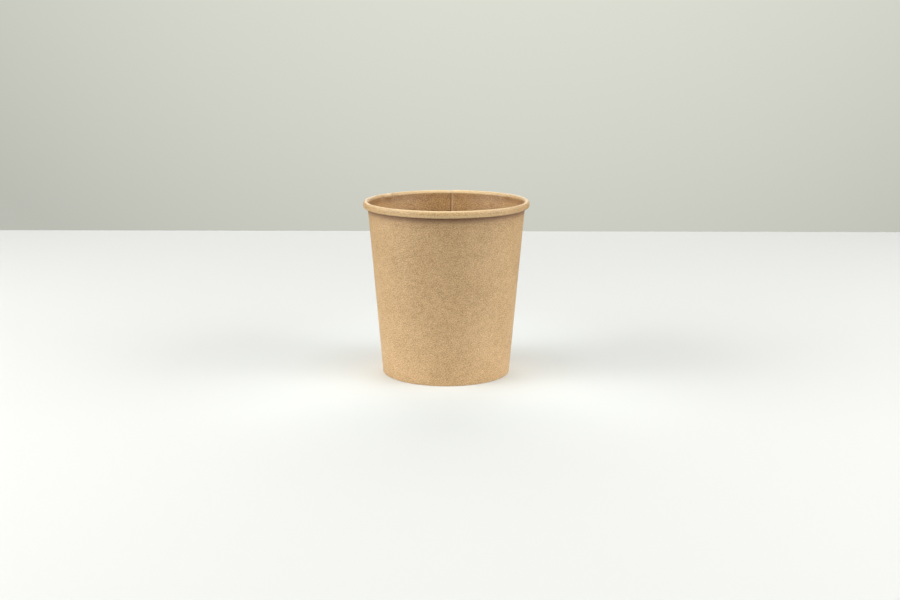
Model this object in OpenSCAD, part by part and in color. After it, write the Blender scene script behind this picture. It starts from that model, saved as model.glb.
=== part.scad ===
// Kraft soup cup: a conical board sidewall, lap sealed up the back, with a rolled
// rim, and a flanged base disc that is held in the turned-in hem of the foot.
// The axis is Z, the cup stands on z = 0, and the cut edge inside the seam faces
// -X at the back (+Y).

/* [Cup] */
// Diameter over the rolled rim, the size that a lid snaps on
rim_d = 97; // [80:1:120]
// Diameter of the sidewall's outer face at the foot
base_d = 75; // [60:1:80]
// Height from the table to the top of the rim
cup_h = 102; // [50:1:160]

/* [Board] */
// Thickness of the sidewall board
wall_t = 0.45; // [0.35:0.05:0.6]
// Thickness of the base disc's board
disc_t = 0.35; // [0.25:0.05:0.5]
// Sealed line between two boards that face each other
seal_gap = 0.05; // [0.03:0.01:0.08]

/* [Rolled rim] */
// Width of the rolled rim, from its inner to its outer side
roll_w = 3.0; // [2.5:0.1:4]
// Height of the rolled rim
roll_h = 4.1; // [3.5:0.1:5]
// Clear space between one turn of the roll and the next
roll_gap = 0.05; // [0.03:0.01:0.1]
// Angle that the board turns through in the roll
roll_turn = 420; // [390:15:420]

/* [Lap seam] */
// Angle over which the two ends of the wrapped sheet lie on each other
lap_angle = 10; // [5:1:20]
// Share of the board's thickness that is left at the step, after pressing
lap_press = 0.9; // [0.7:0.05:0.95]

/* [Foot] */
// Height of the base disc's underside above the table
base_rise = 9; // [6:0.5:15]
// Free height between the top of the hem and the base disc
hem_drop = 2; // [1:0.5:4]
// Bend radius where the disc turns down into its flange
flange_bend = 0.9; // [0.6:0.1:1.5]

/* [Hidden] */
$fn = 180;
WALL_COLOR = [0.79, 0.66, 0.48];
DISC_COLOR = [0.75, 0.61, 0.43];

// Angles between the flats that stand for a round stretch of a section
ROLL_STEP = 15;
FOLD_STEPS = 4;
BEND_STEPS = 5;
// Angle over which the outer end of the sheet runs on inside the left half's board
LAP_ROOT = 1;
// Centre-line radius of the two corners of the fold at the foot
fold_r = 0.6 * wall_t;

// Rolled rim: centre and half axes of its first turn, on the board's centre line.
// The roll tightens after half a turn, so its lower side is roll_pitch / 2 higher.
roll_pitch = wall_t + roll_gap;
roll_a = (roll_w - wall_t) / 2;
roll_b = (roll_h - wall_t + roll_pitch / 2) / 2;
roll_r = rim_d / 2 - roll_w / 2;
roll_z = cup_h - wall_t / 2 - roll_b;

// Slope of the wall: the line from the foot that runs on smoothly into the roll
foot_r = (base_d - wall_t) / 2;
reach = roll_r - foot_r;
rise_sq = pow(roll_z, 2) - pow(roll_b, 2);
slope = (reach * roll_z
    - sqrt(pow(reach * roll_z, 2) - rise_sq * (pow(reach, 2) - pow(roll_a, 2)))) / rise_sq;
taper = atan(slope);
roll_start = atan(roll_b / roll_a * slope);

// Radial distances from the wall's centre line, along a level line
flange_in = (wall_t / 2 + seal_gap + disc_t / 2) / cos(taper);
hem_in = (wall_t + disc_t + 2 * seal_gap) / cos(taper);
hem_top = base_rise - hem_drop;

// The wrapped sheet is two half turns about centres that lie half a step apart,
// so its two ends miss each other by one whole step at the seam.
lap_step = lap_press * wall_t;
half_step = lap_step / 2;
lap_top = cup_h - roll_h + wall_t / 2;
// Pressing takes as much off the outer end's face as off the face that it lies on
lap_inset = (wall_t - lap_step) / 2;

// Radius of the wall's centre line at height z
function wall_r(z) = foot_r + slope * z;

// Points of an arc, from angle a to angle b, as [r, z]
function arc(centre, radius, a, b, steps) =
    [for (i = [0:steps]) centre + radius * [cos(a + (b - a) * i / steps), sin(a + (b - a) * i / steps)]];

// Unit normal to the left of the line from p to q
function left_of(p, q) = [p[1] - q[1], q[0] - p[0]] / norm(q - p);

// Offset of point i of a path that keeps both neighbouring edges at one distance
function mitre(path, i) =
    let (
        last = len(path) - 1,
        before = left_of(path[max(i, 1) - 1], path[max(i, 1)]),
        after = left_of(path[min(i, last - 1)], path[min(i, last - 1) + 1])
    )
    (before + after) / (1 + before * after);

// Outline of a board of thickness t along its centre line
function board(path, t) =
    let (last = len(path) - 1)
    concat(
        [for (i = [0:last]) path[i] + mitre(path, i) * t / 2],
        [for (i = [last:-1:0]) path[i] - mitre(path, i) * t / 2]
    );

// How much the roll has tightened at angle phi
function tightened(phi) = max(0, phi - 180) / 180 * roll_pitch;

// Centre line of the roll at angle phi, which is 0 at its inner side and 90 on top
function roll_point(phi) = [
    roll_r - (roll_a - tightened(phi)) * cos(phi),
    roll_z + (roll_b - tightened(phi)) * sin(phi)
];

// Corners of the fold at the foot: centres of their bends
fold_z = wall_t / 2 + fold_r;
fold_outer = [wall_r(fold_z) - fold_r / cos(taper), fold_z];
fold_inner = [wall_r(fold_z) - hem_in + fold_r / cos(taper), fold_z];

// Centre line of the sheet: hem, fold at the foot, wall and rolled rim
function side_path(grow) =
    let (turns = [for (phi = [ROLL_STEP:ROLL_STEP:roll_turn]) if (phi > roll_start + ROLL_STEP / 4) phi])
    [for (p = concat(
        [[wall_r(hem_top) - hem_in, hem_top]],
        arc(fold_inner, fold_r, 180 - taper, 270, FOLD_STEPS),
        arc(fold_outer, fold_r, 270, 360 - taper, FOLD_STEPS),
        [for (phi = concat([roll_start], turns)) roll_point(phi)]
    )) p + [grow, 0]];

// Outline of the sheet's outer end where it is sealed on the inner end: it reaches
// into the board of that end, and has the round edge of the foot
function lap_outline() =
    let (
        face = wall_t / 2 - lap_inset,
        top_r = wall_r(lap_top)
    )
    concat(
        [[wall_r(fold_z), fold_z], [top_r, lap_top]],
        [[top_r + half_step + face / cos(taper), lap_top]],
        arc(fold_outer + [half_step, 0], fold_r + face, -taper, -90, FOLD_STEPS)
    );

// Centre line of the base disc: plate from the axis, bend, and flange into the hem
function disc_path(grow) =
    let (
        plate_z = base_rise + disc_t / 2,
        bend_z = plate_z - flange_bend,
        bend = [wall_r(bend_z) - flange_in - flange_bend / cos(taper), bend_z],
        end_z = wall_t + seal_gap + disc_t / 2
    )
    concat(
        [[0, plate_z]],
        [for (p = concat(
            arc(bend, flange_bend, 90, -taper, BEND_STEPS),
            [[wall_r(end_z) - flange_in, end_z]]
        )) p + [grow, 0]]
    );

// One stretch of the wrap: a section swept from start about a centre moved along Y
module wrap(start, sweep, shift) {
    translate([0, shift, 0]) rotate([0, 0, start]) rotate_extrude(angle = sweep) children();
}

// Wrapped sheet: the left half turn, the right half turn, and the end under the lap
module sidewall() {
    color(WALL_COLOR) union() {
        wrap(90, 180, 0) polygon(board(side_path(0), wall_t));
        wrap(-90, 180, -half_step) polygon(board(side_path(-half_step), wall_t));
        wrap(90 - lap_angle, lap_angle + LAP_ROOT, -half_step) polygon(lap_outline());
    }
}

// Disc with its turned-down flange, which follows the wrapped sheet and its step
module base_disc() {
    color(DISC_COLOR) union() {
        wrap(90, 180, 0) polygon(board(disc_path(0), disc_t));
        wrap(-90, 180, -half_step) polygon(board(disc_path(-half_step), disc_t));
    }
}

sidewall();
base_disc();
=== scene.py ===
"""A kraft soup cup: a wrapped board sidewall with a rolled rim, and a flanged base disc.

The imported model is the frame, and gives the outer sizes. Each board is modelled as a
sheet with its real thickness: a centre line in section, wrapped round the axis. Lengths
are in millimetres up to the point where a mesh is made, and angles are in degrees.
"""
import logging
import math
from collections.abc import Mapping, Sequence
from dataclasses import dataclass, field, replace
from enum import Enum, IntEnum

import bmesh
import bpy
import numpy as np
from mathutils import Matrix, Vector

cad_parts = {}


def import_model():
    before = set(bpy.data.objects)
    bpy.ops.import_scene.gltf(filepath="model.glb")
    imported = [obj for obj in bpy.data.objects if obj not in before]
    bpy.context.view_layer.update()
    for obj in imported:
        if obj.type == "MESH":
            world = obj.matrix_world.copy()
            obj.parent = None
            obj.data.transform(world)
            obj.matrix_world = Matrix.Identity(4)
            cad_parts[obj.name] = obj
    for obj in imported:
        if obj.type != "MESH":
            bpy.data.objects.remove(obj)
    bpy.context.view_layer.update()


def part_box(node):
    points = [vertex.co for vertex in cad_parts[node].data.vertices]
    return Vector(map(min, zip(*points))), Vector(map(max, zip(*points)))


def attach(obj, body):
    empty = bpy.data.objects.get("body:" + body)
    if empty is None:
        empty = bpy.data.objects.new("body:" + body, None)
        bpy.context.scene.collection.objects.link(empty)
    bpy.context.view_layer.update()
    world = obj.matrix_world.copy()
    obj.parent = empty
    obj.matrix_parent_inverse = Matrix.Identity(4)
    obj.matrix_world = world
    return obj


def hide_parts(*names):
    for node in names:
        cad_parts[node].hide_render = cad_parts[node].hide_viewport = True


Array = np.ndarray
Colour = tuple[float, float, float]
Span = tuple[float, float]
Socket = bpy.types.NodeSocket

MM = 0.001
SHARP_ANGLE = 40.0
JOIN_DISTANCE = 0.001
BODY = "root"
LOG = logging.getLogger("soup_cup")


def ease(value: Array | float, start: float, end: float) -> Array:
    """Step smoothly from 0 to 1.

    Args:
        value: Where to read the step.
        start: Value at which the step begins.
        end: Value at which it is done.

    Returns:
        The height of the step, from 0 to 1.
    """
    share = np.clip((np.asarray(value, float) - start) / (end - start), 0.0, 1.0)
    return share * share * (3.0 - 2.0 * share)


def bump(value: Array | float, middle: float, width: float) -> Array:
    """Rise smoothly to 1 at the middle and fall again.

    Args:
        value: Where to read the bump.
        middle: Value at which the bump is 1.
        width: Distance from the middle at which it has come down to 0.37.

    Returns:
        The height of the bump, from 0 to 1.
    """
    return np.exp(-(((np.asarray(value, float) - middle) / width) ** 2))


def ripple(turn: Array, counts: Sequence[int], seed: int) -> Array:
    """Add up round waves with seeded phases.

    Args:
        turn: Angles round the axis.
        counts: How many waves each part has in a full turn.
        seed: Seed of the phases.

    Returns:
        The mean of the waves, from -1 to 1.
    """
    phases = np.random.default_rng(seed).uniform(0.0, 2.0 * math.pi, len(counts))
    parts = [np.cos(np.radians(turn) * count + phase) for count, phase in zip(counts, phases)]
    return np.mean(parts, axis=0)


class BoardFace(IntEnum):
    """Faces of a board, in the order of a piece's material slots."""

    COATED = 0
    UNCOATED = 1
    CUT = 2


class Slot(Enum):
    """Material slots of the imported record."""

    WALL = "kraft_wall"
    DISC = "kraft_disc"


class Mark(Enum):
    """Values that the meshes carry for their materials."""

    BLANK = "blank_place"
    # Paler lip: stretched board, with a painted highlight and painted bounce light
    LIP = "lip"
    # Raw fibres beside the cut edges; the wide line by the pressed inner edge is partly a painted
    # highlight
    CUT_NEAR = "cut_near"
    # Painted shade beside the seam, under the roll and in the crevice below it
    SEAM = "seam_line"
    # Painted contact shade along the bottom of the foot's fold
    FOLD = "fold"


@dataclass(frozen=True)
class CupSizes:
    """Sizes that both boards are made from. The frame gives the first three."""

    rim_r: float
    height: float
    plate_top: float
    foot_outer_r: float = 37.5
    wall_t: float = 0.45
    disc_t: float = 0.35
    seal_gap: float = 0.05
    roll_w: float = 3.0
    roll_h: float = 4.1
    roll_gap: float = 0.05
    lap_press: float = 0.9
    hem_drop: float = 2.0
    flange_bend: float = 0.9

    @classmethod
    def from_frame(cls) -> "CupSizes":
        """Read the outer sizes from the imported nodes."""
        wall_low, wall_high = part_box("sidewall")
        disc_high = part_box("base_disc")[1]
        return cls(rim_r=-wall_low.x / MM, height=wall_high.z / MM, plate_top=disc_high.z / MM)

    @property
    def roll_pitch(self) -> float:
        """Distance from one turn of the roll to the next."""
        return self.wall_t + self.roll_gap

    @property
    def roll_a(self) -> float:
        """Half the width of the roll's first turn, on the board's centre line."""
        return (self.roll_w - self.wall_t) / 2

    @property
    def roll_b(self) -> float:
        """Half the height of the roll's first turn, on the board's centre line."""
        return (self.roll_h - self.wall_t + self.roll_pitch / 2) / 2

    @property
    def roll_r(self) -> float:
        """Radius at which the roll's centre lies."""
        return self.rim_r - self.roll_w / 2

    @property
    def roll_z(self) -> float:
        """Height at which the roll's centre lies."""
        return self.height - self.wall_t / 2 - self.roll_b

    @property
    def foot_r(self) -> float:
        """Radius of the wall's centre line, carried on down to the table."""
        return self.foot_outer_r - self.wall_t / 2

    @property
    def slope(self) -> float:
        """Run of the wall over its rise, so that it meets the roll in one smooth line."""
        reach = self.roll_r - self.foot_r
        rise_sq = self.roll_z**2 - self.roll_b**2
        root = (reach * self.roll_z) ** 2 - rise_sq * (reach**2 - self.roll_a**2)
        return (reach * self.roll_z - math.sqrt(root)) / rise_sq

    @property
    def taper(self) -> float:
        """Angle between the wall and the axis."""
        return math.degrees(math.atan(self.slope))

    @property
    def roll_start(self) -> float:
        """Angle of the roll at which the wall runs into it."""
        return math.degrees(math.atan(self.roll_b / self.roll_a * self.slope))

    @property
    def level(self) -> float:
        """Length along a level line for each length square to the wall."""
        return 1.0 / math.cos(math.radians(self.taper))

    @property
    def flange_in(self) -> float:
        """Distance from the wall's centre line to the flange's."""
        return (self.wall_t / 2 + self.seal_gap + self.disc_t / 2) * self.level

    @property
    def hem_in(self) -> float:
        """Distance from the wall's centre line to the hem's."""
        return (self.wall_t + self.disc_t + 2 * self.seal_gap) * self.level

    @property
    def plate_z(self) -> float:
        """Height of the base plate's centre line."""
        return self.plate_top - self.disc_t / 2

    @property
    def hem_top(self) -> float:
        """Height of the hem's top edge."""
        return self.plate_top - self.disc_t - self.hem_drop

    @property
    def half_step(self) -> float:
        """Half of the step between the two ends of the sheet."""
        return self.lap_press * self.wall_t / 2

    @property
    def fold_r(self) -> float:
        """Radius of the corners of the fold, on the board's centre line."""
        return 0.6 * self.wall_t

    @property
    def fold_z(self) -> float:
        """Height of the centres of the fold's corners."""
        return self.wall_t / 2 + self.fold_r

    def wall_r(self, z: Array | float) -> Array | float:
        """Radius of the wall's centre line at a height."""
        return self.foot_r + self.slope * z


@dataclass
class BoardMesh:
    """Closed mesh of a board between its coated and its uncoated face.

    Each face is a grid of points, [column round the axis, point along the section].
    """

    name: str
    coated: Array
    uncoated: Array
    marks: Mapping[Mark, tuple[Array, Array]] = field(default_factory=dict)
    looped: bool = False

    def face_quads(self) -> tuple[Array, Array]:
        """Work out the faces.

        Returns:
            The corners of each face, and the board face that it belongs to.
        """
        columns, points = self.coated.shape[:2]
        near = np.arange(columns * points).reshape(columns, points)
        far = near + columns * points
        if self.looped:
            near = np.vstack([near, near[:1]])
            far = np.vstack([far, far[:1]])
        groups = [
            (BoardFace.COATED, self.grid_quads(near)[:, ::-1]),
            (BoardFace.UNCOATED, self.grid_quads(far)),
            (BoardFace.CUT, self.grid_quads(np.stack([far[:, -1], near[:, -1]], axis=1))),
        ]
        if not self.looped:
            strips = [
                np.stack([near[:, 0], far[:, 0]], axis=1),
                np.stack([near[0], far[0]]),
                np.stack([far[-1], near[-1]]),
            ]
            groups += [(BoardFace.CUT, self.grid_quads(strip)) for strip in strips]
        quads = np.vstack([corners for _, corners in groups])
        sides = np.concatenate([np.full(len(corners), int(side)) for side, corners in groups])
        return quads, sides

    @staticmethod
    def grid_quads(grid: Array) -> Array:
        """Corners of the cells of a grid of vertex numbers."""
        corners = [grid[:-1, :-1], grid[1:, :-1], grid[1:, 1:], grid[:-1, 1:]]
        return np.stack(corners, axis=-1).reshape(-1, 4)

    def make(self) -> bpy.types.Object:
        """Build the object, in metres, with its marks as attributes.

        Returns:
            The new object, linked to the scene.
        """
        points = np.concatenate([self.coated.reshape(-1, 3), self.uncoated.reshape(-1, 3)])
        quads, sides = self.face_quads()
        mesh = bpy.data.meshes.new(self.name)
        mesh.from_pydata((points * MM).tolist(), [], quads.tolist())
        mesh.polygons.foreach_set("material_index", sides.astype(np.int32))
        for mark, (near, far) in self.marks.items():
            self.add_mark(mesh, mark, near, far)
        if self.looped:
            self.join_pole(mesh)
        mesh.validate()
        mesh.shade_smooth()
        mesh.set_sharp_from_angle(angle=math.radians(SHARP_ANGLE))
        piece = bpy.data.objects.new(self.name, mesh)
        bpy.context.scene.collection.objects.link(piece)
        return piece

    @staticmethod
    def add_mark(mesh: bpy.types.Mesh, mark: Mark, near: Array, far: Array) -> None:
        """Write one mark to the mesh.

        Args:
            mesh: Mesh to write to.
            mark: Which mark it is.
            near: Its values on the coated face's grid.
            far: Its values on the uncoated face's grid.
        """
        vector = near.ndim == 3
        kind = "FLOAT_VECTOR" if vector else "FLOAT"
        attribute = mesh.attributes.new(mark.value, kind, "POINT")
        values = np.concatenate([near.reshape(-1), far.reshape(-1)]).astype(np.float32)
        attribute.data.foreach_set("vector" if vector else "value", values)

    @staticmethod
    def join_pole(mesh: bpy.types.Mesh) -> None:
        """Join the points that all columns share on the axis."""
        work = bmesh.new()
        work.from_mesh(mesh)
        bmesh.ops.remove_doubles(work, verts=work.verts, dist=JOIN_DISTANCE * MM)
        work.to_mesh(mesh)
        work.free()


def square_to(path: Array) -> Array:
    """Unit normals to the left of a path, with mitred lengths at its corners.

    Args:
        path: Points of a path in section, [column, point, (radius, height)].

    Returns:
        A normal for each point, which is the coated side of the board.
    """
    step = np.diff(path, axis=1)
    step = step / np.linalg.norm(step, axis=2, keepdims=True)
    left = np.stack([-step[..., 1], step[..., 0]], axis=-1)
    before = np.concatenate([left[:, :1], left], axis=1)
    after = np.concatenate([left, left[:, -1:]], axis=1)
    return (before + after) / (1.0 + np.sum(before * after, axis=2, keepdims=True))


def path_length(path: Array) -> Array:
    """Length of a path up to each of its points."""
    step = np.linalg.norm(np.diff(path, axis=1), axis=2)
    return np.concatenate([np.zeros((len(path), 1)), np.cumsum(step, axis=1)], axis=1)


@dataclass(frozen=True)
class Crease:
    """Short buckle across the lip of the rolled rim."""

    turn: float
    width: float
    depth: float
    lip: float = 20.0
    spread: float = 30.0


@dataclass
class Sidewall:
    """One sheet of kraft board, wrapped, lap sealed, rolled at the rim and hemmed.

    A column of the sheet is named by its turn, which runs from the outer end at
    90 - lap_angle, past the inner end's cut edge at 90, to the inner end at 450.
    A place along a section is a height, or a lip angle near the roll. A field that
    ends in "at" is the middle and the width of a bump, and a Span is otherwise the
    range over which something comes or goes.
    """

    sizes: CupSizes
    lap_angle: float = 10.0
    column_step: float = 0.62
    end_step: float = 0.2
    end_span: float = 1.0
    hem_points: int = 5
    fold_points: int = 6
    wall_points: int = 15
    wall_share: float = 0.94
    wall_crowding: float = 0.05
    wall_close_rows: tuple[float, ...] = (4.9, 4.0, 3.3, 2.7, 2.1, 1.4, 0.7)
    seen_turn: float = 250.0
    seen_points: int = 26
    hidden_points: int = 10
    roll_turn: float = 420.0
    inner_roll_turn: float = 292.0
    outer_roll_turn: float = 262.0
    roll_ramp: float = 6.0
    fold_ramp: float = 5.0
    fold_lift: float = 0.455
    press_play: float = 0.005
    bead: float = 0.16
    bead_at: Span = (24.0, 26.0)
    uneven: float = 0.035
    uneven_waves: tuple[int, ...] = (7, 17, 29, 41, 58)
    uneven_from: Span = (-20.0, 60.0)
    uneven_until: Span = (230.0, 300.0)
    edge_sag: float = 26.0
    knurls: int = 96
    knurl_depth: float = 0.055
    knurl_from: Span = (1.2, 1.9)
    knurl_until: Span = (-0.9, -0.3)
    oval: float = 0.05
    panels: float = 0.04
    body_from: Span = (12.0, 34.0)
    body_until: Span = (82.0, 97.0)
    body_loss: float = 0.8
    rim_wave: float = 0.09
    rim_from: Span = (92.0, 99.0)
    lean: float = 0.22
    lean_turn: float = 154.5
    far_side: float = 60.0
    # Raw fibres beside the cut edges; by the pressed inner edge partly a painted highlight
    cut_width: float = 0.45
    pressed_cut_width: float = 1.1
    # Painted shadow beside the seam's step
    seam_shade_at: Span = (90.3, 0.6)
    seam_fade: float = 0.85
    seam_fade_from: Span = (0.0, 30.0)
    # Paler lip: partly stretched board, partly a painted highlight
    pale_from: Span = (2.0, 24.0)
    pale_until: Span = (105.0, 150.0)
    pale_side: float = 0.25
    # Painted bounce light on the roll's lower edge
    painted_bounce_light: float = 0.6
    painted_bounce_light_at: Span = (208.0, 22.0)
    # Paler in front than at the sides: painted highlight
    pale_least: float = 0.25
    pale_lean: float = 0.12
    # Painted shade in the crevice under the roll, and inside just below the roll
    gap_shade: float = 0.95
    gap_shade_from: Span = (-205.0, -75.0)
    under_shade: float = 0.3
    under_shade_across: float = 0.35
    under_shade_at: Span = (-30.0, 70.0)
    # Painted contact shade along the bottom of the foot's fold
    foot_shade_width: float = 0.35
    creases: tuple[Crease, ...] = (
        Crease(turn=151.5, width=1.6, depth=-0.3),
        Crease(turn=144.0, width=3.6, depth=0.8),
        Crease(turn=138.5, width=1.4, depth=-0.6),
        Crease(turn=133.5, width=1.6, depth=0.22),
        Crease(turn=120.5, width=1.8, depth=-0.16),
        Crease(turn=107.5, width=2.0, depth=0.12),
        Crease(turn=56.5, width=1.8, depth=0.14),
        Crease(turn=46.5, width=1.6, depth=-0.26),
        Crease(turn=40.0, width=2.6, depth=0.5),
    )

    def columns(self) -> Array:
        """Turns of the columns, closer together at the two ends of the sheet."""
        start = 90.0 - self.lap_angle
        span = self.end_span
        stretches = [
            (start, start + span, self.end_step),
            (start + span, 90.0 - span, self.column_step),
            (90.0 - span, 90.0 + span, self.end_step),
            (90.0 + span, 450.0 - span, self.column_step),
            (450.0 - span, 450.0, self.end_step),
        ]
        parts = [np.linspace(a, b, max(2, round((b - a) / step) + 1)) for a, b, step in stretches]
        return np.unique(np.round(np.concatenate(parts), 6))

    def ends(self, turn: Array, ramp: float) -> tuple[Array, Array]:
        """How far a column belongs to the outer and to the inner end of the sheet.

        Args:
            turn: Turns of the columns.
            ramp: Angle over which the sheet goes back to its plain shape.

        Returns:
            Shares from 0 to 1 for the outer end and for the inner end.
        """
        lap_end = 450.0 - self.lap_angle
        outer = 1.0 - ease(turn, 90.0, 90.0 + ramp)
        inner = ease(turn, lap_end - ramp, lap_end)
        return outer, inner

    def section(self, turn: Array) -> tuple[Array, Array]:
        """Centre line of the board in each column.

        Args:
            turn: Turns of the columns.

        Returns:
            The points, [column, point, (radius, height)], and the lip angle of each:
            0 where the wall ends, 90 on top of the roll, and negative on the wall.
        """
        s = self.sizes
        outer, inner = self.ends(turn, self.roll_ramp)
        outer_fold, inner_fold = self.ends(turn, self.fold_ramp)
        hem_in = (s.hem_in + 4 * s.half_step * outer_fold)[:, None]
        fold_z = (s.fold_z + self.fold_lift * inner_fold)[:, None]
        corner = s.fold_r * s.level

        shares = np.linspace(0.0, 1.0, self.fold_points)
        inner_turn = np.radians(180.0 - s.taper + (90.0 + s.taper) * shares)
        inner_r = s.wall_r(fold_z) - hem_in + corner + s.fold_r * np.cos(inner_turn)
        inner_z = fold_z + s.fold_r * np.sin(inner_turn)
        outer_turn = np.radians(270.0 + (90.0 - s.taper) * shares)
        outer_r = s.wall_r(fold_z) - corner + s.fold_r * np.cos(outer_turn)
        outer_z = fold_z + s.fold_r * np.sin(outer_turn)

        down = np.linspace(0.0, 1.0, self.hem_points + 1)[:-1]
        hem_z = s.hem_top + (inner_z[:, :1] - s.hem_top) * down
        hem_r = s.wall_r(hem_z) - hem_in

        phi, roll_r, roll_z = self.roll(turn, outer, inner)
        even = np.linspace(0.0, 1.0, self.wall_points + 1)[1:]
        crowded = even - self.wall_crowding * np.sin(2.0 * math.pi * even)
        close = 1.0 - np.array(self.wall_close_rows) / s.height
        up = np.concatenate([crowded * self.wall_share, close])
        wall_r = outer_r[:, -1:] + (roll_r[:, :1] - outer_r[:, -1:]) * up
        wall_z = outer_z[:, -1:] + (roll_z[:, :1] - outer_z[:, -1:]) * up

        radius = np.concatenate([hem_r, inner_r, outer_r, wall_r, roll_r], axis=1)
        height = np.concatenate([hem_z, inner_z, outer_z, wall_z, roll_z], axis=1)
        below = height[:, : -phi.shape[1]] - roll_z[:, :1]
        lip = np.concatenate([s.roll_start + np.degrees(below / s.roll_b), phi], axis=1)
        return np.stack([radius, height], axis=-1), lip

    def roll(self, turn: Array, outer: Array, inner: Array) -> tuple[Array, Array, Array]:
        """Centre line of the rolled rim, which tightens after half a turn.

        At the lap the outer end is rolled up inside the inner end, so its turn is
        smaller, and the inner end's is wider, and both stop sooner.

        Args:
            turn: Turns of the columns.
            outer: Share of the outer end in each column.
            inner: Share of the inner end in each column.

        Returns:
            The lip angles, radii and heights of the points of each column.
        """
        s = self.sizes
        last = (
            self.roll_turn
            - (self.roll_turn - self.inner_roll_turn) * inner
            - (self.roll_turn - self.outer_roll_turn) * outer
        )[:, None]
        even = np.linspace(s.roll_start, self.seen_turn, self.seen_points)
        seen = even[None, :] + np.zeros((len(turn), 1))
        shares = np.linspace(0.0, 1.0, self.hidden_points + 1)[None, 1:]
        hidden = self.seen_turn + (last - self.seen_turn) * shares
        phi = np.concatenate([seen, hidden], axis=1)
        tight = np.maximum(0.0, phi - 180.0) / 180.0 * s.roll_pitch
        half_w = (s.roll_a + s.half_step * (inner - outer))[:, None]
        half_h = (s.roll_b - 2 * s.half_step * outer)[:, None]
        centre = (s.roll_r + s.half_step * (inner - outer))[:, None]
        radius = centre - (half_w - tight) * np.cos(np.radians(phi))
        height = s.roll_z + (half_h - tight) * np.sin(np.radians(phi))
        return phi, radius, height

    def wrap(self, turn: Array) -> tuple[Array, Array]:
        """Centre and growth of the wrapped sheet.

        Args:
            turn: Turns of the columns.

        Returns:
            The Y of each column's centre, and what is added to its radii.
        """
        step = self.sizes.half_step
        plain = (turn >= 90.0) & (turn < 270.0)
        centre = np.where(plain, 0.0, -step)
        grow = np.where(plain, 0.0, np.where(turn < 90.0, step, -step))
        return centre, grow

    def buckles(self, turn: Array, lip: Array) -> Array:
        """How far the creases and the unevenness of the roll raise the board.

        Args:
            turn: Turns of the columns.
            lip: Lip angle of each point.

        Returns:
            A distance along the coated side's normal for each point.
        """
        raised = np.zeros_like(lip)
        around = turn[:, None] % 360.0
        for crease in self.creases:
            ridge = crease.depth * bump(around, crease.turn, crease.width)
            raised += ridge * bump(lip, crease.lip, crease.spread)
        raised += self.bead * bump(lip, *self.bead_at)
        on_roll = ease(lip, *self.uneven_from) * (1.0 - ease(lip, *self.uneven_until))
        waves = 0.5 + 0.5 * ripple(turn, self.uneven_waves, seed=4)
        return raised - self.uneven * waves[:, None] * on_roll

    def knurl(self, turn: Array, points: Array) -> Array:
        """Ribs that the sealing tool leaves on the hem, as a depth for each point."""
        count = self.hem_points + 1
        height = points[:, :count, 1]
        above = height - self.sizes.hem_top
        on_hem = np.zeros(points.shape[:2])
        on_hem[:, :count] = ease(height, *self.knurl_from) * (1.0 - ease(above, *self.knurl_until))
        ribs = 0.5 + 0.5 * np.cos(np.radians(turn) * self.knurls)
        return self.knurl_depth * ribs[:, None] * on_hem

    def settle(self, points: Array) -> Array:
        """Move points as a real cup is a little out of round.

        Args:
            points: Points in space, in the last axis.

        Returns:
            The moved points, none of them further out or higher than before.
        """
        x, y, z = points[..., 0], points[..., 1], points[..., 2]
        turn = np.degrees(np.arctan2(y, x))
        body = ease(z, *self.body_from) * (1.0 - self.body_loss * ease(z, *self.body_until))
        oval = 0.5 - 0.5 * ripple(turn, (2, 3), seed=11)
        panels = 0.5 - 0.5 * ripple(turn, (5, 8, 13), seed=12)
        dish = (self.oval * oval + self.panels * panels) * body
        top = ease(z, *self.rim_from)
        waves = self.rim_wave * (0.5 - 0.5 * ripple(turn, (2, 3, 5), seed=13))
        drop = (waves + self.lean * (1.0 + np.cos(np.radians(turn - self.lean_turn)))) * top
        scale = 1.0 - dish / np.maximum(np.hypot(x, y), 1.0)
        return np.stack([x * scale, y * scale, z - drop], axis=-1)

    def blank_place(self, turn: Array, section: Array, side: float) -> Array:
        """Where each point lies on the flat blank that the sheet was cut as.

        Args:
            turn: Turns of the columns.
            section: Centre line of each column.
            side: Third coordinate, which sets the two faces apart.

        Returns:
            The place of each point, which is true to length on the wall.
        """
        s = self.sizes
        sine = math.sin(math.radians(s.taper))
        foot = self.hem_points + self.fold_points
        length = path_length(section)
        reach = s.foot_r / sine + length - length[:, foot : foot + 1]
        fan = np.radians(turn)[:, None] * sine
        flat = [reach * np.sin(fan), reach * np.cos(fan), np.full_like(reach, side)]
        return np.stack(flat, axis=-1)

    def build(self) -> bpy.types.Object:
        """Build the sheet.

        Returns:
            The sidewall's object.
        """
        s = self.sizes
        turn = self.columns()
        section, lip = self.section(turn)
        normal = square_to(section)
        centre, grow = self.wrap(turn)
        outer, inner = self.ends(turn, self.end_span)
        press = (1.0 - s.lap_press) * s.wall_t / 2 + self.press_play
        raised = self.buckles(turn, lip)
        half = s.wall_t / 2
        near_off = half - press * outer[:, None] + raised
        far_off = -half + press * inner[:, None] + raised + self.knurl(turn, section)
        faces = []
        for offset in (near_off, far_off):
            at = section + normal * offset[..., None]
            radius = at[..., 0] + grow[:, None]
            x = radius * np.cos(np.radians(turn))[:, None]
            y = radius * np.sin(np.radians(turn))[:, None] + centre[:, None]
            faces.append(self.settle(np.stack([x, y, at[..., 1]], axis=-1)))
        board = BoardMesh("sidewall_board", faces[0], faces[1], self.marks(turn, section, lip))
        return board.make()

    def stretch(self, turn: Array) -> Array:
        """Paler lip, most in front and least at the sides: stretched board and painted highlight."""
        along = np.sin(np.radians(turn))
        rest = 1.0 - self.pale_least
        return self.pale_least + rest * along**2 * (1.0 - self.pale_lean - self.pale_lean * along)

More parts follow.
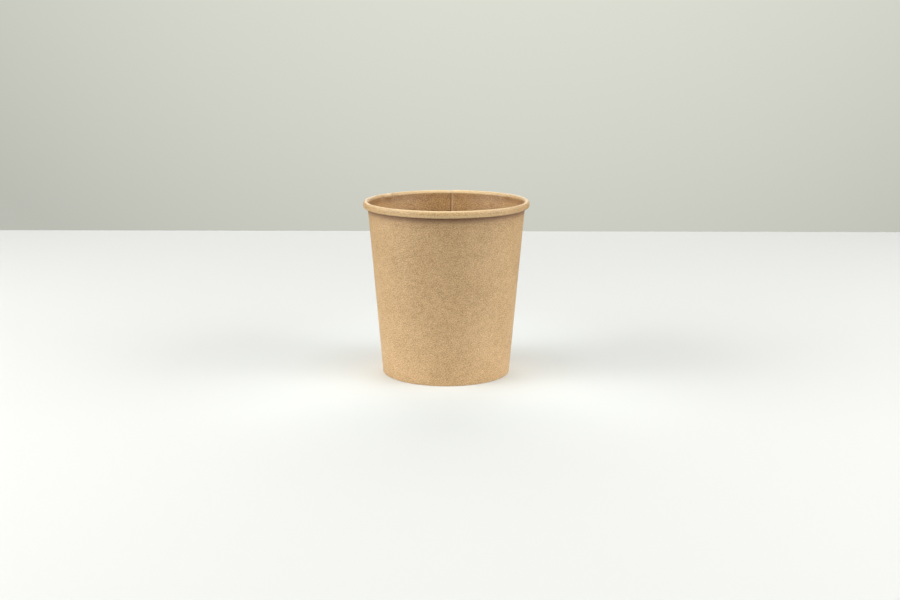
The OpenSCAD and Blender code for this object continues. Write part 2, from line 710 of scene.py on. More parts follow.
    def marks(
        self, turn: Array, section: Array, lip: Array
    ) -> dict[Mark, tuple[Array, Array]]:
        """Values for the materials, among them painted shade and painted highlights.

        Args:
            turn: Turns of the columns.
            section: Centre line of each column.
            lip: Lip angle of each point.

        Returns:
            Each mark on the coated and on the uncoated face.
        """
        even = np.ones_like(lip)
        start = 90.0 - self.lap_angle
        # Light line by the pressed inner edge: raw fibres and a painted highlight on the burr
        inner_cut = bump(turn, 450.0, self.pressed_cut_width)[:, None] * even
        outer_cut = bump(turn, start, self.cut_width)[:, None] * even
        # Painted shadow of the seam's step, beside the inner end's cut edge, fading on the roll
        behind = bump(turn, *self.seam_shade_at) * (turn > 90.0)
        shadow = behind[:, None] * (1.0 - self.seam_fade * ease(lip, *self.seam_fade_from))

        sag = sum(crease.depth * bump(turn, crease.turn, crease.width) for crease in self.creases)
        # Paler lip: partly stretched board, partly a painted highlight on the crest
        sagged = lip + self.edge_sag * sag[:, None]
        edge = ease(sagged, *self.pale_from)
        crest = edge * (1.0 - ease(lip, *self.pale_until))
        # Painted bounce light on the roll's lower edge, just above the crevice
        below = self.painted_bounce_light * bump(lip, *self.painted_bounce_light_at)
        pale = self.pale_side * edge + (1.0 - self.pale_side) * np.maximum(crest, below)
        lip_pale_and_lit = pale * self.stretch(turn)[:, None]

        # Painted shade in the crevice under the roll, on the outside
        crevice_shade = self.gap_shade * ease(lip, *self.gap_shade_from)
        # Painted shade inside just below the roll, deeper at the left and right
        across = np.cos(np.radians(turn)) ** 2
        depth = self.under_shade + self.under_shade_across * across
        under = depth[:, None] * bump(sagged, *self.under_shade_at)
        # Painted contact shade along the bottom of the fold, where the foot meets the table
        fold = bump(section[..., 1], 0.0, self.foot_shade_width)
        inside = self.blank_place(turn, section, 0.0)
        outside = self.blank_place(turn, section, self.far_side)
        return {
            Mark.BLANK: (inside, outside),
            Mark.LIP: (lip_pale_and_lit, lip_pale_and_lit),
            Mark.CUT_NEAR: (inner_cut, outer_cut),
            Mark.SEAM: (np.maximum(shadow, under), crevice_shade),
            Mark.FOLD: (np.zeros_like(lip), fold),
        }


@dataclass
class BaseDisc:
    """Disc of kraft board whose edge is turned down into a flange inside the hem."""

    sizes: CupSizes
    column_count: int = 480
    plate_rings: int = 18
    ring_crowding: float = 0.85
    bend_points: int = 6
    flange_points: int = 4
    dome: float = 0.28
    pleats: tuple[int, ...] = (71, 83, 97, 112)
    pleat_height: float = 0.07
    pleat_shift: float = 0.4
    pleats_from: Span = (0.86, 0.97)
    pleats_until: Span = (1.2, 3.0)
    step_ramp: float = 4.0
    lap_ramp: Span = (434.0, 440.0)
    flange_lift: float = 0.46
    top_side: float = 120.0
    under_side: float = 180.0

    def section(self, turn: Array) -> Array:
        """Centre line of the disc from the axis to the flange's edge.

        Args:
            turn: Turns of the columns, from 90 to 450.

        Returns:
            The points, [column, point, (radius, height)].
        """
        s = self.sizes
        bend_z = s.plate_z - s.flange_bend
        bend_r = s.wall_r(bend_z) - s.flange_in - s.flange_bend * s.level
        rings = np.linspace(0.0, 1.0, self.plate_rings) ** self.ring_crowding
        plate_r = bend_r * rings
        plate_z = s.plate_z + self.dome * (1.0 - rings**2) ** 2
        shares = np.linspace(0.0, 1.0, self.bend_points + 1)[1:]
        sweep = np.radians(90.0 - (90.0 + s.taper) * shares)
        turn_r = bend_r + s.flange_bend * np.cos(sweep)
        turn_z = bend_z + s.flange_bend * np.sin(sweep)
        lifted = 1.0 - ease(turn, 90.0, 90.0 + self.step_ramp) + ease(turn, *self.lap_ramp)
        end_z = (s.wall_t + s.seal_gap + s.disc_t / 2 + self.flange_lift * lifted)[:, None]
        down = np.linspace(0.0, 1.0, self.flange_points + 1)[1:]
        flange_z = turn_z[-1] + (end_z - turn_z[-1]) * down
        flange_r = s.wall_r(flange_z) - s.flange_in
        even = np.ones((len(turn), 1))
        radius = np.concatenate([even * plate_r, even * turn_r, flange_r], axis=1)
        height = np.concatenate([even * plate_z, even * turn_z, flange_z], axis=1)
        return np.stack([radius, height], axis=-1)

    def build(self) -> bpy.types.Object:
        """Build the disc.

        Returns:
            The base disc's object.
        """
        s = self.sizes
        turn = np.linspace(90.0, 450.0, self.column_count + 1)[:-1]
        section = self.section(turn)
        normal = square_to(section)
        left = turn < 270.0
        step = 2 * s.half_step * (1.0 - ease(turn, 90.0, 90.0 + self.step_ramp))
        grow = np.where(left, -step, -s.half_step)
        centre = np.where(left, 0.0, -s.half_step)
        share = section[..., 0] / (s.wall_r(s.plate_z) - s.flange_in)
        below = s.plate_top - section[..., 1]
        rim = ease(share, *self.pleats_from) * (1.0 - ease(below, *self.pleats_until))
        pleats = ripple(turn, self.pleats, seed=21)
        folds = self.pleat_height * (pleats - self.pleat_shift)[:, None] * rim
        inward = np.clip(share, 0.0, 1.0)
        faces = []
        for offset in (s.disc_t / 2 + folds, -s.disc_t / 2 + folds):
            at = section + normal * offset[..., None]
            outward = at[..., 0] + grow[:, None] * inward
            x = outward * np.cos(np.radians(turn))[:, None]
            y = outward * np.sin(np.radians(turn))[:, None] + centre[:, None] * inward
            x[:, 0] = 0.0
            y[:, 0] = 0.0
            faces.append(np.stack([x, y, at[..., 1]], axis=-1))
        marks = self.marks(turn, section)
        return BoardMesh("base_board", faces[0], faces[1], marks, looped=True).make()

    def marks(self, turn: Array, section: Array) -> dict[Mark, tuple[Array, Array]]:
        """Values for the materials.

        Args:
            turn: Turns of the columns.
            section: Centre line of each column.

        Returns:
            Each mark on the coated and on the uncoated face.
        """
        length = path_length(section)
        angle = np.radians(turn)[:, None]
        flat = [length * np.cos(angle), length * np.sin(angle)]
        top = np.stack([*flat, np.full_like(length, self.top_side)], axis=-1)
        under = np.stack([*flat, np.full_like(length, self.under_side)], axis=-1)
        plain = np.zeros_like(length)
        unmarked = (Mark.LIP, Mark.CUT_NEAR, Mark.SEAM, Mark.FOLD)
        return {Mark.BLANK: (top, under), **{mark: (plain, plain) for mark in unmarked}}


class Graph:
    """Short forms for the nodes of one tree."""

    def __init__(self, tree: bpy.types.NodeTree) -> None:
        """Keep the tree that the nodes go into."""
        self.tree = tree

    def node(self, kind: str, **settings: object) -> bpy.types.Node:
        """Add a node.

        Args:
            kind: Its type's name.
            **settings: Its settings.

        Returns:
            The node.
        """
        made = self.tree.nodes.new(kind)
        for name, value in settings.items():
            setattr(made, name, value)
        return made

    def feed(self, socket: Socket, value: object) -> None:
        """Link a socket to an input, or set the input to a plain value."""
        if isinstance(value, Socket):
            self.tree.links.new(value, socket)
        else:
            socket.default_value = value

    def math(self, operation: str, *values: object) -> Socket:
        """Add a sum or another operation on numbers.

        Args:
            operation: Its name.
            *values: What it works on, sockets or numbers.

        Returns:
            The result.
        """
        made = self.node("ShaderNodeMath", operation=operation)
        for socket, value in zip(made.inputs, values):
            self.feed(socket, value)
        return made.outputs[0]

    def spread(self, value: object, low: float, high: float, first: float, last: float) -> Socket:
        """Map a value smoothly from one range to another.

        Args:
            value: Socket to map.
            low: Start of its range.
            high: End of its range.
            first: Result at the start.
            last: Result at the end.

        Returns:
            The mapped value, held at the two results outside the range.
        """
        made = self.node("ShaderNodeMapRange", interpolation_type="SMOOTHSTEP")
        for socket, put in zip(made.inputs, (value, low, high, first, last)):
            self.feed(socket, put)
        return made.outputs[0]

    def noise(self, place: object, scale: float, detail: float = 2.0, rough: float = 0.5) -> Socket:
        """Add cloudy noise.

        Args:
            place: Where to read it.
            scale: Clouds for each unit of length.
            detail: How many finer layers it has.
            rough: How strong they are.

        Returns:
            The noise, around 0.5.
        """
        made = self.node("ShaderNodeTexNoise")
        self.feed(made.inputs["Vector"], place)
        made.inputs["Scale"].default_value = scale
        made.inputs["Detail"].default_value = detail
        made.inputs["Roughness"].default_value = rough
        return made.outputs[0]

    def laid(self, place: object, turn: float, size: tuple[float, float, float]) -> Socket:
        """Turn and stretch a place, so that a pattern read there lies in one direction.

        Args:
            place: Socket to change.
            turn: Direction of the pattern in the board's plane.
            size: How far the pattern is stretched.

        Returns:
            The changed place.
        """
        made = self.node("ShaderNodeMapping", vector_type="TEXTURE")
        self.feed(made.inputs["Vector"], place)
        made.inputs["Rotation"].default_value = (0.0, 0.0, math.radians(turn))
        made.inputs["Scale"].default_value = size
        return made.outputs[0]

    def mix(self, share: object, first: object, second: object) -> Socket:
        """Mix two colours.

        Args:
            share: Share of the second.
            first: Socket or colour.
            second: Socket or colour.

        Returns:
            The mixed colour.
        """
        made = self.node("ShaderNodeMix", data_type="RGBA")
        values = {"Factor_Float": share, "A_Color": first, "B_Color": second}
        for socket in made.inputs:
            if socket.identifier in values:
                self.feed(socket, values[socket.identifier])
        return next(out for out in made.outputs if out.identifier == "Result_Color")


def opaque(colour: Colour) -> tuple[float, float, float, float]:
    """Colour with an alpha of 1."""
    return (*colour, 1.0)


class GroupSocket(Enum):
    """Kinds of socket that the node groups have."""

    NUMBER = "NodeSocketFloat"
    PLACE = "NodeSocketVector"
    COLOUR = "NodeSocketColor"


def sockets(kind: GroupSocket, *names: str) -> dict[str, GroupSocket]:
    """Sockets of one kind, by name."""
    return {name: kind for name in names}


@dataclass
class NodeGroup:
    """Shader node group with named inputs and outputs, built once."""

    name: str
    inputs: Mapping[str, GroupSocket]
    outputs: Mapping[str, GroupSocket]
    tree: bpy.types.NodeTree = field(init=False)

    def __post_init__(self) -> None:
        """Make the tree and its sockets, and fill it."""
        self.tree = bpy.data.node_groups.new(self.name, "ShaderNodeTree")
        for direction, sockets in (("INPUT", self.inputs), ("OUTPUT", self.outputs)):
            for name, kind in sockets.items():
                self.tree.interface.new_socket(name=name, in_out=direction, socket_type=kind.value)
        graph = Graph(self.tree)
        results = self.fill(graph, graph.node("NodeGroupInput").outputs)
        end = graph.node("NodeGroupOutput")
        for name, value in results.items():
            graph.feed(end.inputs[name], value)

    def fill(self, graph: Graph, given: bpy.types.NodeOutputs) -> dict[str, Socket]:
        """Build the nodes between the inputs and the outputs."""
        raise NotImplementedError

    def place(self, graph: Graph, values: Mapping[str, object]) -> bpy.types.NodeOutputs:
        """Place the group in a material.

        Args:
            graph: Nodes of the material.
            values: Value or socket for each input.

        Returns:
            The group's outputs.
        """
        made = graph.node("ShaderNodeGroup", node_tree=self.tree)
        for name, value in values.items():
            graph.feed(made.inputs[name], value)
        return made.outputs


# Noise of the grain, the pulp and the wide clouds: scale, detail and roughness
GRAIN_NOISE = (1.5, 3.0, 0.7)
PULP_NOISE = (0.3, 3.0, 0.55)
CLOUD_NOISE = (0.06, 2.0, 0.5)
CLOUD_SHARE = 0.6

# Fibres: directions, noise, stretch, half width, distance between the heights at which
# the patterns are cut, strength in the relief, and the patches in which they show
PALE_TURNS = (14.0, 78.0, 141.0)
BROWN_TURNS = (47.0, 108.0, 166.0)
BROWN_SHIFT = 31.0
FIBRE_NOISE = (1.0, 1.0, 0.4)
FIBRE_STRETCH = (2.8, 0.42, 1.0)
FIBRE_WIDTH = 0.035
FIBRE_SHIFT = 7.3
FIBRE_RELIEF = 0.25
PATCH_NOISE = (0.55, 1.0, 0.5)
PATCH_SPREAD = (0.42, 0.6, 0.15, 1.0)

# Specks: scale of the cells, which cells have one, its largest size and its soft edge
SPECK_CELLS = 0.32
SPECK_CHOICE = (0.86, 0.9)
SPECK_SIZE = 0.09
SPECK_EDGE = 0.02


@dataclass
class FibreGroup(NodeGroup):
    """Fibres, pulp clouds and specks of kraft board at a place on its blank."""

    name: str = "kraft_fibres"
    inputs: Mapping[str, GroupSocket] = field(
        default_factory=lambda: sockets(GroupSocket.PLACE, "Place")
        | sockets(GroupSocket.NUMBER, "Grain", "Clouds", "Strands")
    )
    outputs: Mapping[str, GroupSocket] = field(
        default_factory=lambda: sockets(GroupSocket.NUMBER, "Tone", "Speck", "Relief")
    )

    def fill(self, graph: Graph, given: bpy.types.NodeOutputs) -> dict[str, Socket]:
        """Build the tone, the specks and the relief.

        Args:
            graph: Nodes of the group.
            given: The group's inputs.

        Returns:
            The socket for each output.
        """
        place = given["Place"]
        grain = graph.math("SUBTRACT", graph.noise(place, *GRAIN_NOISE), 0.5)
        pulp = graph.math("SUBTRACT", graph.noise(place, *PULP_NOISE), 0.5)
        cloud = graph.math("SUBTRACT", graph.noise(place, *CLOUD_NOISE), 0.5)
        pale = self.strands(graph, place, PALE_TURNS, 0.0)
        brown = self.strands(graph, place, BROWN_TURNS, BROWN_SHIFT)
        fine = graph.math("MULTIPLY", grain, given["Grain"])
        soft = graph.math("ADD", pulp, graph.math("MULTIPLY", cloud, CLOUD_SHARE))
        wide = graph.math("MULTIPLY", soft, given["Clouds"])
        threads = graph.math("SUBTRACT", pale, brown)
        lines = graph.math("MULTIPLY", threads, given["Strands"])
        tone = graph.math("ADD", graph.math("ADD", fine, wide), graph.math("ADD", lines, 0.5))
        relief = graph.math("ADD", grain, graph.math("MULTIPLY", threads, FIBRE_RELIEF))
        return {"Tone": tone, "Speck": self.specks(graph, place), "Relief": relief}

    @staticmethod
    def strands(graph: Graph, place: object, turns: Sequence[float], shift: float) -> Socket:
        """Thin fibres that lie in a few directions.

        Args:
            graph: Nodes of the group.
            place: Where to read them.
            turns: Directions of the fibres.
            shift: Height at which the pattern is cut, so that two calls differ.

        Returns:
            A mask, 1 on a fibre.
        """
        found = None
        for number, turn in enumerate(turns):
            moved = graph.node("ShaderNodeVectorMath", operation="ADD")
            graph.feed(moved.inputs[0], place)
            moved.inputs[1].default_value = (0.0, 0.0, shift + FIBRE_SHIFT * number)
            laid = graph.laid(moved.outputs[0], turn, FIBRE_STRETCH)
            off = graph.math("SUBTRACT", graph.noise(laid, *FIBRE_NOISE), 0.5)
            line = graph.spread(graph.math("ABSOLUTE", off), 0.0, FIBRE_WIDTH, 1.0, 0.0)
            found = line if found is None else graph.math("MAXIMUM", found, line)
        patch = graph.spread(graph.noise(place, *PATCH_NOISE), *PATCH_SPREAD)
        return graph.math("MULTIPLY", found, patch)

    @staticmethod
    def specks(graph: Graph, place: object) -> Socket:
        """Sparse brown specks of bark, as a mask."""
        cells = graph.node("ShaderNodeTexVoronoi")
        graph.feed(cells.inputs["Vector"], place)
        cells.inputs["Scale"].default_value = SPECK_CELLS
        split = graph.node("ShaderNodeSeparateColor")
        graph.feed(split.inputs[0], cells.outputs["Color"])
        chosen = graph.spread(split.outputs[0], *SPECK_CHOICE, 0.0, 1.0)
        size = graph.math("MULTIPLY", split.outputs[1], SPECK_SIZE)
        inside = graph.math("SUBTRACT", size, cells.outputs["Distance"])
        shown = graph.spread(inside, -SPECK_EDGE, SPECK_EDGE, 0.0, 1.0)
        return graph.math("MULTIPLY", chosen, shown)


# Colours that marks mix into the board, and the strongest share of some
# Lip colours: paler stretched board, with a painted highlight
LIP_DARK: Colour = (0.92, 0.65, 0.32)
LIP_LIGHT: Colour = (1.0, 0.79, 0.45)
# Painted shade: beside the seam, under the roll and in the crevice below it
SEAM_SHADE: Colour = (0.165, 0.065, 0.025)
# Painted contact shade for the bottom of the foot's fold
FOLD_SHADE: Colour = (0.34, 0.2, 0.06)
SPECK_SHADE: Colour = (0.13, 0.065, 0.028)
SPECK_SHARE = 0.75
# Raw fibres by the cut edges, partly a painted highlight
CUT_SHARE = 0.7
FOOT_SHADE_SHARE = 0.5
PAINTED_SHADE_SHARE = 0.8


@dataclass
class ToneGroup(NodeGroup):
    """Colour of kraft board from its tone, its specks, its raw cut edges and painted light and shade."""

    name: str = "kraft_tone"
    inputs: Mapping[str, GroupSocket] = field(
        default_factory=lambda: sockets(
            GroupSocket.NUMBER, "Tone", "Speck", "Lip", "Cut", "Seam", "Foot shade"
        )
        | sockets(GroupSocket.COLOUR, "Dark", "Light", "Raw")
    )
    outputs: Mapping[str, GroupSocket] = field(
        default_factory=lambda: sockets(GroupSocket.COLOUR, "Colour")
    )

    def fill(self, graph: Graph, given: bpy.types.NodeOutputs) -> dict[str, Socket]:
        """Build the colour.

        Args:
            graph: Nodes of the group.
            given: The group's inputs.

        Returns:
            The socket for the colour.
        """
        plain = graph.mix(given["Tone"], given["Dark"], given["Light"])
        bark = graph.math("MULTIPLY", given["Speck"], SPECK_SHARE)
        speckled = graph.mix(bark, plain, opaque(SPECK_SHADE))
        # Paler lip: stretched board, with a painted highlight and painted bounce light
        paler = graph.mix(given["Tone"], opaque(LIP_DARK), opaque(LIP_LIGHT))
        stretched = graph.mix(given["Lip"], speckled, paler)
        # Raw fibres by the cut edges, partly a painted highlight on the burr
        raw_and_lit_edge = graph.mix(graph.math("MULTIPLY", given["Cut"], CUT_SHARE), stretched, given["Raw"])
        # Painted contact shade along the bottom of the foot's fold
        foot_shaded = graph.mix(graph.math("MULTIPLY", given["Foot shade"], FOOT_SHADE_SHARE), raw_and_lit_edge, opaque(FOLD_SHADE))
        # Painted shade beside the seam, under the roll and in the crevice below it
        shade_painted = graph.mix(graph.math("MULTIPLY", given["Seam"], PAINTED_SHADE_SHARE), foot_shaded, opaque(SEAM_SHADE))
        return {"Colour": shade_painted}


RAW_KRAFT: Colour = (0.72, 0.54, 0.34)


@dataclass(frozen=True)
class KraftFinish:
    """How one face of the board looks. Colours are linear."""

    name: str
    dark: Colour
    light: Colour
    roughness: Span
    raw: Colour = RAW_KRAFT
    grain: float = 2.1
    clouds: float = 0.4
    strands: float = 0.14
    relief: float = 0.03
    roughness_tones: Span = (0.2, 0.8)
    coat: float = 0.0
    lip_coat: float = 0.0
    coat_roughness: float = 0.3
    gloss: float = 0.5

    def material(self, fibres: FibreGroup, tone: ToneGroup) -> bpy.types.Material:
        """Make the material.

        Args:
            fibres: Group for the fibres.
            tone: Group for the colour.

        Returns:
            The material.
        """
        made = bpy.data.materials.new(self.name)
        made.use_nodes = True
        made.node_tree.nodes.clear()
        graph = Graph(made.node_tree)
        shader = graph.node("ShaderNodeBsdfPrincipled")
        blank = self.read(graph, Mark.BLANK).outputs["Vector"]
        board = fibres.place(
            graph,
            {
                "Place": blank,
                "Grain": self.grain,
                "Clouds": self.clouds,
                "Strands": self.strands,
            },
        )
        lip = self.read(graph, Mark.LIP).outputs["Fac"]
        colour = tone.place(
            graph,
            {
                "Tone": board["Tone"],
                "Speck": board["Speck"],
                "Lip": lip,
                "Cut": self.read(graph, Mark.CUT_NEAR).outputs["Fac"],
                "Seam": self.read(graph, Mark.SEAM).outputs["Fac"],
                "Foot shade": self.read(graph, Mark.FOLD).outputs["Fac"],
                "Dark": opaque(self.dark),
                "Light": opaque(self.light),
                "Raw": opaque(self.raw),
            },
        )
        graph.feed(shader.inputs["Base Color"], colour["Colour"])
        rough = graph.spread(board["Tone"], *self.roughness_tones, *self.roughness)
        graph.feed(shader.inputs["Roughness"], rough)
        graph.feed(shader.inputs["Coat Weight"], self.coat_weight(graph, lip))
        shader.inputs["Coat Roughness"].default_value = self.coat_roughness
        shader.inputs["Specular IOR Level"].default_value = self.gloss
        relief = graph.node("ShaderNodeBump")
        relief.inputs["Strength"].default_value = 1.0
        relief.inputs["Distance"].default_value = self.relief * MM
        graph.feed(relief.inputs["Height"], board["Relief"])
        graph.feed(shader.inputs["Normal"], relief.outputs["Normal"])
        graph.feed(graph.node("ShaderNodeOutputMaterial").inputs["Surface"], shader.outputs["BSDF"])
        return made

    def coat_weight(self, graph: Graph, lip: Socket) -> Socket | float:
        """Weight of the coating, which is smoother where it is stretched over the lip."""
        if self.lip_coat == self.coat:
            return self.coat
        return graph.spread(lip, 0.0, 1.0, self.coat, self.lip_coat)

    @staticmethod
    def read(graph: Graph, mark: Mark) -> bpy.types.Node:
        """Node that reads a mark of the mesh."""
        return graph.node("ShaderNodeAttribute", attribute_name=mark.value)


WALL_INSIDE = KraftFinish(
    name="wall_coated_face",
    dark=(0.195, 0.09, 0.01),
    light=(0.8, 0.505, 0.235),
    roughness=(0.52, 0.44),
    grain=3.2,
    clouds=0.5,
    strands=0.2,
    relief=0.02,
    coat=0.12,
    lip_coat=0.14,
    coat_roughness=0.34,
)
WALL_OUTSIDE = KraftFinish(
    name="wall_uncoated_face",
    dark=(0.24, 0.12, 0.014),
    light=(0.89, 0.615, 0.33),
    roughness=(0.64, 0.56),
    gloss=0.8,
)
WALL_CUT = KraftFinish(
    name="wall_cut_edge",
    dark=(0.5, 0.33, 0.17),
    light=(0.82, 0.62, 0.4),
    roughness=(0.95, 0.9),
    grain=2.2,
    strands=0.3,
)
DISC_TOP = replace(
    WALL_INSIDE,
    name="disc_coated_face",
    dark=(0.185, 0.085, 0.008),
    light=(0.74, 0.47, 0.218),
    grain=2.9,
    lip_coat=0.12,
)
DISC_UNDER = replace(
    WALL_OUTSIDE,
    name="disc_uncoated_face",
    dark=(0.235, 0.117, 0.014),
    light=(0.87, 0.605, 0.325),
    gloss=0.5,
)
DISC_CUT = replace(WALL_CUT, name="disc_cut_edge")


def dress(
    piece: bpy.types.Object, finishes: Sequence[KraftFinish], fibres: FibreGroup, tone: ToneGroup
) -> None:
    """Give a board its finishes.

    Args:
        piece: The board's object.
        finishes: A finish for each board face, in the order of BoardFace.
        fibres: Group for the fibres.
        tone: Group for the colour.
    """
    for finish in finishes:
        piece.data.materials.append(finish.material(fibres, tone))


def outward(turn: float, rise: float) -> Vector:
    """Direction away from the cup, by its turn from the front and its rise in degrees."""
    level = math.cos(math.radians(rise))
    angle = math.radians(turn)
    height = math.sin(math.radians(rise))
    return Vector((math.sin(angle) * level, -math.cos(angle) * level, height))


@dataclass(frozen=True)
class Softbox:
    """Square studio lamp that points at the cup. Lengths are metres, power is watts."""

    name: str
    turn: float
    power: float
    rise: float = 24.0
    distance: float = 1.1
    size: float = 0.825

    def light(self, target: Vector) -> None:
        """Make the lamp.

        Args:
            target: The point that it faces.
        """
        lamp = bpy.data.lights.new(self.name, "AREA")
        lamp.shape = "SQUARE"
        lamp.size = self.size
        lamp.energy = self.power
        back = outward(self.turn, self.rise)
        placed = bpy.data.objects.new(self.name, lamp)
        placed.location = target + back * self.distance
        placed.rotation_euler = (-back).to_track_quat("-Z", "Y").to_euler()
        placed.visible_camera = False
        bpy.context.scene.collection.objects.link(placed)


@dataclass(frozen=True)
class StudioCamera:
    """Camera of the picture. Lengths are millimetres, and pixels are those of the picture."""

    picture_width: int = 900
    focal_pixels: float = 1351.0
    sensor: float = 36.0
    turn: float = 3.9
    distance: float = 780.0
    height: float = 207.0
    tilt: float = 11.92
    pan: float = 0.158
    roll: float = 0.15
    clip: Span = (0.01, 100.0)

    def stand(self) -> None:
        """Make the camera and give it to the scene."""
        data = bpy.data.cameras.new("camera")
        data.sensor_fit = "HORIZONTAL"
        data.sensor_width = self.sensor
        data.lens = self.focal_pixels / self.picture_width * self.sensor
        data.clip_start, data.clip_end = self.clip
        camera = bpy.data.objects.new("camera", data)
        place = outward(self.turn, 0.0) * self.distance
        place.z = self.height
        aim = (
            Matrix.Rotation(math.radians(self.turn - self.pan), 4, "Z")
            @ Matrix.Rotation(math.radians(90.0 - self.tilt), 4, "X")
            @ Matrix.Rotation(math.radians(self.roll), 4, "Z")
        )
        camera.matrix_world = Matrix.Translation(place * MM) @ aim
        bpy.context.scene.collection.objects.link(camera)
        bpy.context.scene.camera = camera


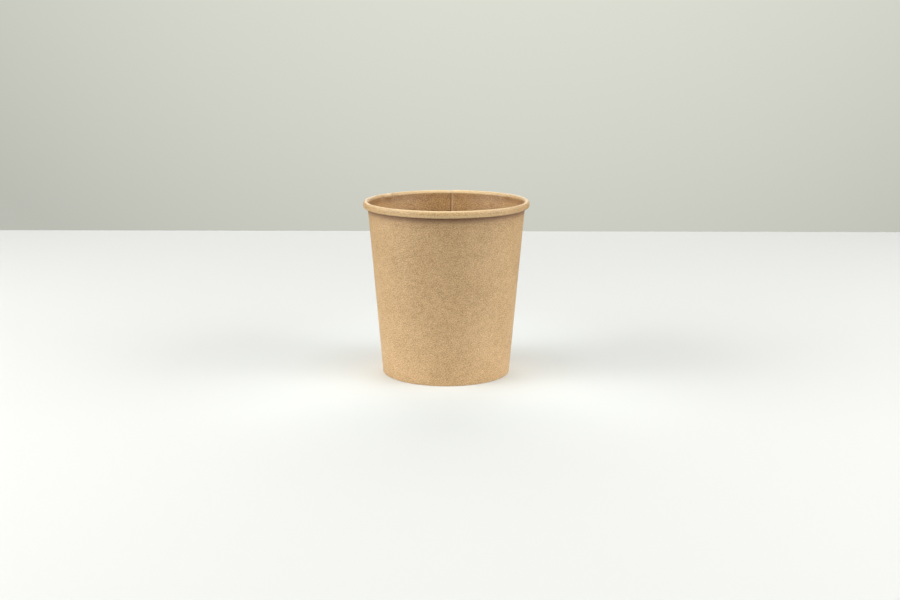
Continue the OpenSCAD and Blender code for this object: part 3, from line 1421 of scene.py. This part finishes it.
@dataclass
class Studio:
    """Pale floor, plain background and soft light round the cup. Lengths are metres."""

    floor_colour: Colour = (0.798, 0.805, 0.775)
    # Painted fill light on the floor near the cup, lighter and cooler, over its cast shadow and warm
    # bounce
    painted_fill_colour: Colour = (0.84, 0.872, 0.85)
    painted_fill_range: Span = (0.06, 0.2)
    bounce_near: float = 0.9
    bounce_far: float = 0.1
    bounce_range: Span = (0.06, 0.34)
    floor_drop: float = 0.00005
    floor_back: float = 0.527
    floor_reach: float = 0.62
    floor_turn: float = 3.9
    floor_corners: int = 96
    hole_r: float = 0.0371
    wall_colour: Colour = (1.0, 1.015, 0.905)
    glow_turn: float = 0.9
    glow_rise: float = 16.0
    glow: float = 0.787
    glow_fall: float = 2.0
    glow_least: float = 0.5
    ambient: float = 0.05
    aim_height: float = 0.05
    lamps: tuple[Softbox, ...] = (
        Softbox("lamp_left_front", turn=-58.5, power=6.4),
        Softbox("lamp_left_side", turn=-80.5, power=5.8),
        Softbox("lamp_right_front", turn=62.5, power=5.67),
        Softbox("lamp_right_side", turn=89.5, power=5.1),
        Softbox("lamp_front_top", turn=3.9, rise=70.0, distance=1.3, size=1.0, power=4.3),
        Softbox("lamp_back", turn=183.9, rise=35.0, distance=1.3, size=1.0, power=7.2),
        Softbox("lamp_below", turn=0.0, rise=-89.0, distance=0.8, size=0.6, power=3.5),
    )

    def build(self) -> None:
        """Build the floor, the background, the lamps and the camera."""
        self.lay_floor()
        self.set_background()
        for lamp in self.lamps:
            lamp.light(Vector((0.0, 0.0, self.aim_height)))
        StudioCamera().stand()

    def lay_floor(self) -> None:
        """Lay the floor, with a hole under the cup that lets light into the recess."""
        count = self.floor_corners
        turns = np.linspace(0.0, 2.0 * math.pi, count, endpoint=False) + math.pi / count
        circle = np.stack([np.cos(turns), np.sin(turns)], axis=1)
        square = circle / np.abs(circle).max(axis=1, keepdims=True) * self.floor_reach
        square[:, 1] = np.minimum(square[:, 1], self.floor_back)
        flat = np.concatenate([circle * self.hole_r, square]) @ self.floor_frame()
        points = np.column_stack([flat, np.full(len(flat), -self.floor_drop)])
        after = (np.arange(count) + 1) % count
        near = np.arange(count)
        faces = np.stack([near, near + count, after + count, after], axis=1)
        mesh = bpy.data.meshes.new("floor")
        mesh.from_pydata(points.tolist(), [], faces.tolist())
        mesh.materials.append(self.floor_material())
        floor = bpy.data.objects.new("floor", mesh)
        bpy.context.scene.collection.objects.link(floor)

    def floor_frame(self) -> Array:
        """Turn of the floor, which sets its far edge level in the picture."""
        sine = math.sin(math.radians(self.floor_turn))
        cosine = math.cos(math.radians(self.floor_turn))
        return np.array([[cosine, sine], [-sine, cosine]])

    def floor_material(self) -> bpy.types.Material:
        """Matt pale floor that isn't seen from below, painted lighter near the cup over its cast shadow.

        Returns:
            The material.
        """
        made = bpy.data.materials.new("pale_floor")
        made.use_nodes = True
        made.node_tree.nodes.clear()
        graph = Graph(made.node_tree)
        matt = graph.node("ShaderNodeBsdfDiffuse")
        geometry = graph.node("ShaderNodeNewGeometry")
        rays = graph.node("ShaderNodeLightPath")
        away = graph.node("ShaderNodeVectorMath", operation="LENGTH")
        graph.feed(away.inputs[0], geometry.outputs["Position"])
        reach = away.outputs["Value"]
        bounce = graph.spread(reach, *self.bounce_range, self.bounce_near, self.bounce_far)
        # Painted fill light near the cup, over the cup's cast shadow
        far = graph.spread(reach, *self.painted_fill_range, 0.0, 1.0)
        shown = graph.mix(far, opaque(self.painted_fill_colour), opaque(self.floor_colour))
        lit = graph.mix(rays.outputs["Is Camera Ray"], bounce, shown)
        graph.feed(matt.inputs["Color"], lit)
        clear = graph.node("ShaderNodeBsdfTransparent")
        choice = graph.node("ShaderNodeMixShader")
        graph.feed(choice.inputs[0], geometry.outputs["Backfacing"])
        graph.feed(choice.inputs[1], matt.outputs[0])
        graph.feed(choice.inputs[2], clear.outputs[0])
        graph.feed(graph.node("ShaderNodeOutputMaterial").inputs["Surface"], choice.outputs[0])
        return made

    def set_background(self) -> None:
        """Grey light from all sides, and a plain background that the camera and gloss see."""
        world = bpy.data.worlds.new("studio")
        world.use_nodes = True
        world.node_tree.nodes.clear()
        graph = Graph(world.node_tree)
        light = graph.node("ShaderNodeBackground")
        light.inputs["Color"].default_value = opaque((1.0, 1.0, 1.0))
        light.inputs["Strength"].default_value = self.ambient
        seen = graph.node("ShaderNodeBackground")
        seen.inputs["Color"].default_value = opaque(self.wall_colour)
        front = outward(self.glow_turn, self.glow_rise)
        along = graph.node("ShaderNodeVectorMath", operation="DOT_PRODUCT")
        graph.feed(along.inputs[0], graph.node("ShaderNodeTexCoord").outputs["Generated"])
        along.inputs[1].default_value = (-front.x, -front.y, front.z)
        aside = graph.math("SUBTRACT", 1.0, along.outputs["Value"])
        off = graph.math("MULTIPLY", aside, self.glow_fall)
        glow = graph.math("MAXIMUM", graph.math("SUBTRACT", self.glow, off), self.glow_least)
        graph.feed(seen.inputs["Strength"], glow)
        choice = graph.node("ShaderNodeMixShader")
        rays = graph.node("ShaderNodeLightPath").outputs
        mirrored = graph.math("MAXIMUM", rays["Is Glossy Ray"], rays["Is Transmission Ray"])
        graph.feed(choice.inputs[0], graph.math("MAXIMUM", rays["Is Camera Ray"], mirrored))
        graph.feed(choice.inputs[1], light.outputs[0])
        graph.feed(choice.inputs[2], seen.outputs[0])
        graph.feed(graph.node("ShaderNodeOutputWorld").inputs["Surface"], choice.outputs[0])
        bpy.context.scene.world = world


def hand_over(piece: bpy.types.Object, node: str) -> None:
    """Let a finished board stand for its node.

    Args:
        piece: The board's object.
        node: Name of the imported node.
    """
    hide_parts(node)
    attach(piece, BODY)
    LOG.info("%s stands for %s with %d faces", piece.name, node, len(piece.data.polygons))


def main() -> None:
    """Build the cup and its studio."""
    logging.basicConfig(level=logging.INFO, format="%(name)s: %(message)s")
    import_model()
    sizes = CupSizes.from_frame()
    fibres = FibreGroup()
    tone = ToneGroup()

    sidewall = Sidewall(sizes).build()
    dress(sidewall, (WALL_INSIDE, WALL_OUTSIDE, WALL_CUT), fibres, tone)
    hand_over(sidewall, "sidewall")

    base_disc = BaseDisc(sizes).build()
    dress(base_disc, (DISC_TOP, DISC_UNDER, DISC_CUT), fibres, tone)
    hand_over(base_disc, "base_disc")

    Studio().build()
    bpy.context.scene.view_settings.view_transform = "Standard"


if __name__ == "__main__":
    main()
